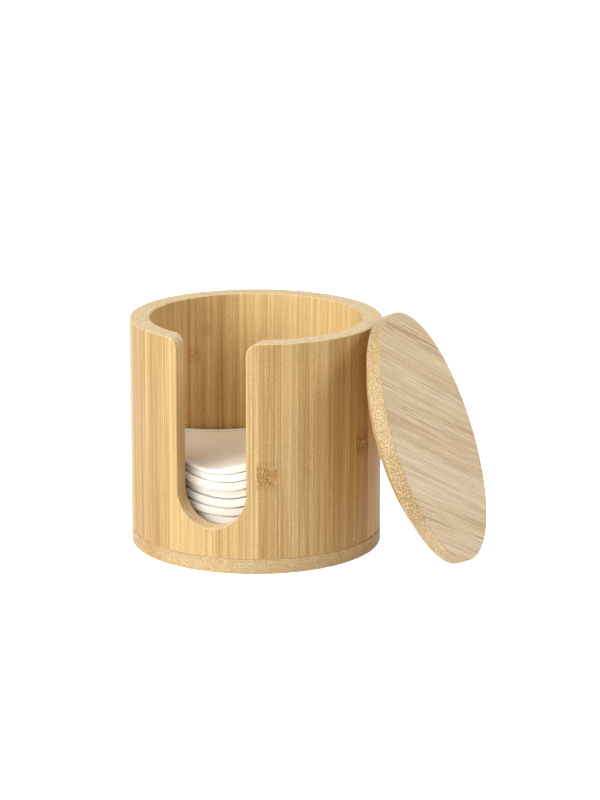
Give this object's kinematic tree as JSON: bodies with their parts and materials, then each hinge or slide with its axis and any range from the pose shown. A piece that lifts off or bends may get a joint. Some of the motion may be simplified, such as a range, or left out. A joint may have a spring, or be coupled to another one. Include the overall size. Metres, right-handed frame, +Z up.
{
  "type": "cotton pad dispenser",
  "caption": "Round bamboo box with a U-shaped finger slot down the front, a stack of round cloth pads inside, and its flat bamboo lid taken off and leaning on the side",
  "frame": {"origin": "centre of the underside of the box, on the table plane", "axes": "+Z up along the axis of the box, -Y towards the finger slot, +X towards the side the lid leans on"},
  "size_m": [0.1429, 0.102, 0.0961],
  "materials": {
    "bamboo_wall": "turned laminated bamboo, sanded, thin clear oil",
    "bamboo_board": "edge-glued bamboo strip board, sanded",
    "bamboo_locator": "edge-glued bamboo strip board, sanded",
    "pad_cloth": "brushed cotton fleece",
    "pad_thread": "overlocked cotton thread"
  },
  "bodies": {
    "box": {"box_wall": "bamboo_wall", "box_base": "bamboo_board"},
    "lid": {"lid_face": "bamboo_board", "lid_locator": "bamboo_locator"},
    "pad_01": {"pad_01_cloth": "pad_cloth", "pad_01_edging": "pad_thread"},
    "pad_02": {"pad_02_cloth": "pad_cloth", "pad_02_edging": "pad_thread"},
    "pad_03": {"pad_03_cloth": "pad_cloth", "pad_03_edging": "pad_thread"},
    "pad_04": {"pad_04_cloth": "pad_cloth", "pad_04_edging": "pad_thread"},
    "pad_05": {"pad_05_cloth": "pad_cloth", "pad_05_edging": "pad_thread"},
    "pad_06": {"pad_06_cloth": "pad_cloth", "pad_06_edging": "pad_thread"},
    "pad_07": {"pad_07_cloth": "pad_cloth", "pad_07_edging": "pad_thread"},
    "pad_08": {"pad_08_cloth": "pad_cloth", "pad_08_edging": "pad_thread"},
    "pad_09": {"pad_09_cloth": "pad_cloth", "pad_09_edging": "pad_thread"},
    "pad_10": {"pad_10_cloth": "pad_cloth", "pad_10_edging": "pad_thread"}
  },
  "joints": [
    {"name": "lid_lift", "type": "slide", "parent": "box", "child": "lid", "axis": [0, 0, 1], "range_m": [0, 0.11]},
    {"name": "pad_01_lift", "type": "slide", "parent": "box", "child": "pad_01", "axis": [0, 0, 1], "range_m": [0, 0.088]},
    {"name": "pad_02_lift", "type": "slide", "parent": "pad_01", "child": "pad_02", "axis": [0, 0, 1], "range_m": [0, 0.085]},
    {"name": "pad_03_lift", "type": "slide", "parent": "pad_02", "child": "pad_03", "axis": [0, 0, 1], "range_m": [0, 0.082]},
    {"name": "pad_04_lift", "type": "slide", "parent": "pad_03", "child": "pad_04", "axis": [0, 0, 1], "range_m": [0, 0.078]},
    {"name": "pad_05_lift", "type": "slide", "parent": "pad_04", "child": "pad_05", "axis": [0, 0, 1], "range_m": [0, 0.075]},
    {"name": "pad_06_lift", "type": "slide", "parent": "pad_05", "child": "pad_06", "axis": [0, 0, 1], "range_m": [0, 0.072]},
    {"name": "pad_07_lift", "type": "slide", "parent": "pad_06", "child": "pad_07", "axis": [0, 0, 1], "range_m": [0, 0.069]},
    {"name": "pad_08_lift", "type": "slide", "parent": "pad_07", "child": "pad_08", "axis": [0, 0, 1], "range_m": [0, 0.066]},
    {"name": "pad_09_lift", "type": "slide", "parent": "pad_08", "child": "pad_09", "axis": [0, 0, 1], "range_m": [0, 0.062]},
    {"name": "pad_10_lift", "type": "slide", "parent": "pad_09", "child": "pad_10", "axis": [0, 0, 1], "range_m": [0, 0.059]}
  ]
}
